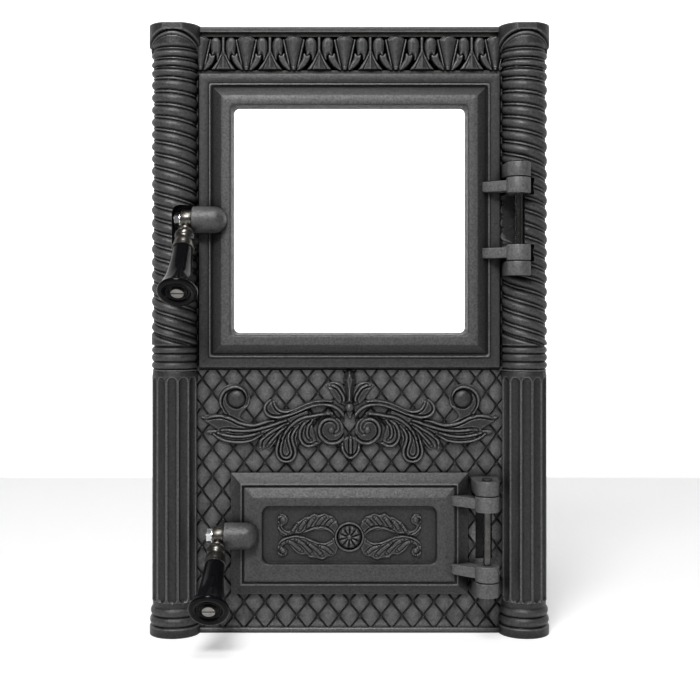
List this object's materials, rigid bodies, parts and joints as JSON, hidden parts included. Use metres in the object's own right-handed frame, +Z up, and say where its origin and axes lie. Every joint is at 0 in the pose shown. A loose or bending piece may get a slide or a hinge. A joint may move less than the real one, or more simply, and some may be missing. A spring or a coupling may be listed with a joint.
{
  "type": "glazed stove door with frame",
  "caption": "Ornate cast iron stove front with a glazed fire door above an ash door, on pin hinges with lift latch handles.",
  "frame": {"origin": "middle of the plate's lower edge, in the plane of its front face", "axes": "+Z up, the front faces -Y, +X to the viewer's right"},
  "size_m": [0.35, 0.1203, 0.53],
  "materials": {
    "cast_iron": "satin black stove finish on rough cast iron",
    "fire_glass": "clear fire-resistant glass",
    "seal_rope": "braided glass fibre",
    "clip_steel": "plain steel",
    "pin_steel": "drawn steel",
    "lever_steel": "satin nickel-plated steel",
    "bright_zinc": "bright zinc-plated steel",
    "black_grip": "glossy black heat-resistant moulding"
  },
  "bodies": {
    "frame": {"front_frame": "cast_iron", "upper_hinge_pin": "pin_steel", "lower_hinge_pin": "pin_steel"},
    "fire_door": {"upper_door": "cast_iron", "upper_door_rope": "seal_rope", "upper_handle_stud": "bright_zinc", "upper_handle_washer": "bright_zinc", "upper_handle_nut": "bright_zinc", "glass_pane": "fire_glass", "glass_gasket": "seal_rope", "glass_clips": "clip_steel", "glass_clip_screws": "clip_steel"},
    "ash_door": {"lower_door": "cast_iron", "lower_door_rope": "seal_rope", "lower_handle_stud": "bright_zinc", "lower_handle_washer": "bright_zinc", "lower_handle_nut": "bright_zinc"},
    "fire_door_handle": {"upper_handle_lever": "lever_steel", "upper_handle_ferrule": "lever_steel", "upper_handle_grip": "black_grip", "upper_handle_end_screw": "lever_steel"},
    "ash_door_handle": {"lower_handle_lever": "lever_steel", "lower_handle_ferrule": "lever_steel", "lower_handle_grip": "black_grip", "lower_handle_end_screw": "lever_steel"}
  },
  "joints": [
    {"name": "upper_door_hinge", "type": "hinge", "parent": "frame", "child": "fire_door", "pos_m": [0.1447, -0.025, 0.3603], "axis": [0, 0, 1], "range_deg": [0, 110]},
    {"name": "lower_door_hinge", "type": "hinge", "parent": "frame", "child": "ash_door", "pos_m": [0.1178, -0.025, 0.087], "axis": [0, 0, 1], "range_deg": [0, 110]},
    {"name": "upper_handle_lift", "type": "hinge", "parent": "fire_door", "child": "fire_door_handle", "pos_m": [-0.1405, -0.0146, 0.3603], "axis": [-1, 0, 0], "range_deg": [0, 45]},
    {"name": "lower_handle_lift", "type": "hinge", "parent": "ash_door", "child": "ash_door_handle", "pos_m": [-0.113, -0.0146, 0.087], "axis": [-1, 0, 0], "range_deg": [0, 30]}
  ]
}
